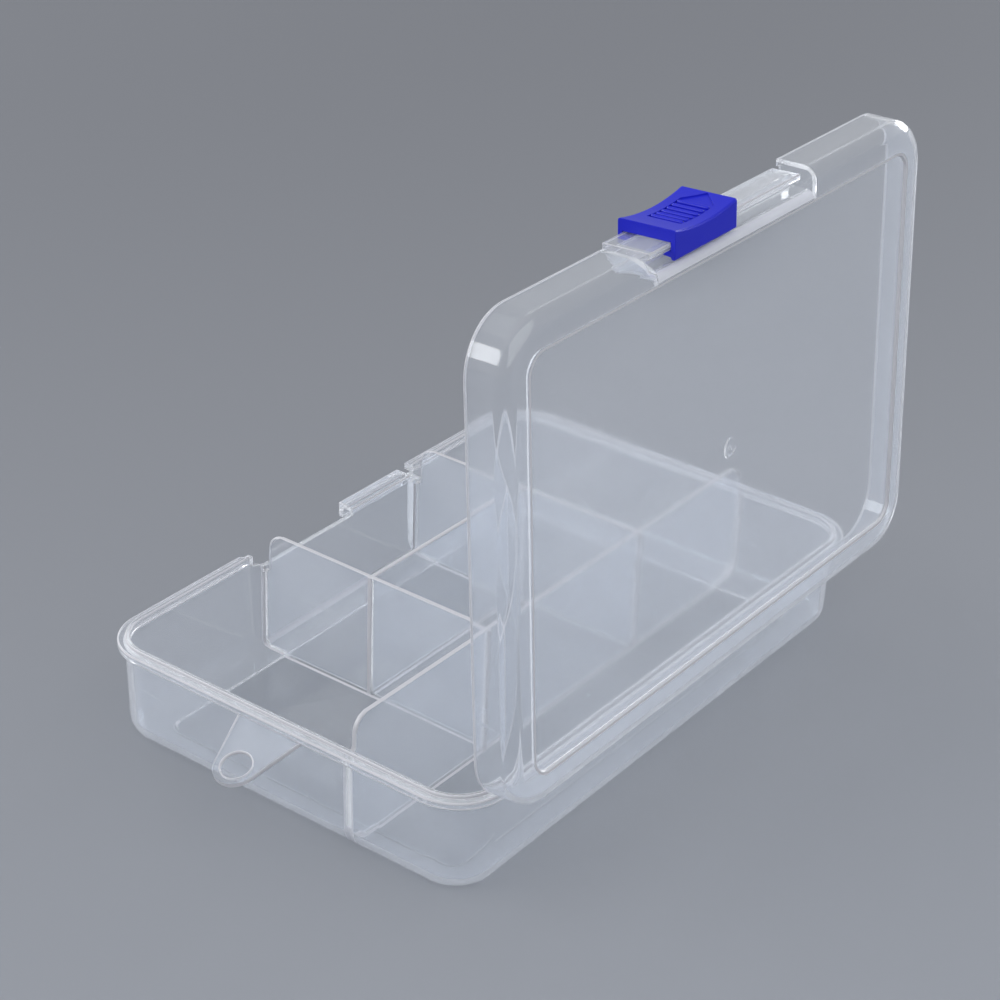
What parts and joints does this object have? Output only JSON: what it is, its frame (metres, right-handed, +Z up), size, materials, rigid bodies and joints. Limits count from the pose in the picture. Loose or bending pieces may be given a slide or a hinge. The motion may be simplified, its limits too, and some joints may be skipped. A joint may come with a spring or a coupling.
{
  "type": "hinged compartment box",
  "caption": "Flat translucent plastic box with fixed compartments, a lid on a film hinge, a sliding latch and a hang tab.",
  "frame": {"origin": "centre of the tray's foot, on the surface that the box stands on", "axes": "+X along the box towards the hang tab, -Y towards the latch side, +Y towards the hinge, +Z up"},
  "size_m": [0.1549, 0.1055, 0.1228],
  "materials": {
    "clear_plastic": "smooth moulded, slightly milky",
    "blue_plastic": "satin moulded"
  },
  "bodies": {
    "tray": {"tray_shell": "clear_plastic", "long_divider": "clear_plastic", "near_divider": "clear_plastic", "far_divider": "clear_plastic", "short_divider": "clear_plastic", "hang_tab": "clear_plastic", "latch_catch": "clear_plastic", "hinge_film": "clear_plastic"},
    "lid": {"lid_shell": "clear_plastic", "lid_rail": "clear_plastic"},
    "slider": {"latch_slider": "blue_plastic"}
  },
  "joints": [
    {"name": "lid_hinge", "type": "hinge", "parent": "tray", "child": "lid", "pos_m": [0, 0.04955, 0.0237], "axis": [-1, 0, 0], "range_deg": [-86.3, 93.7]},
    {"name": "slider_travel", "type": "slide", "parent": "lid", "child": "slider", "axis": [-1, 0, 0], "range_m": [0, 0.0245]}
  ]
}
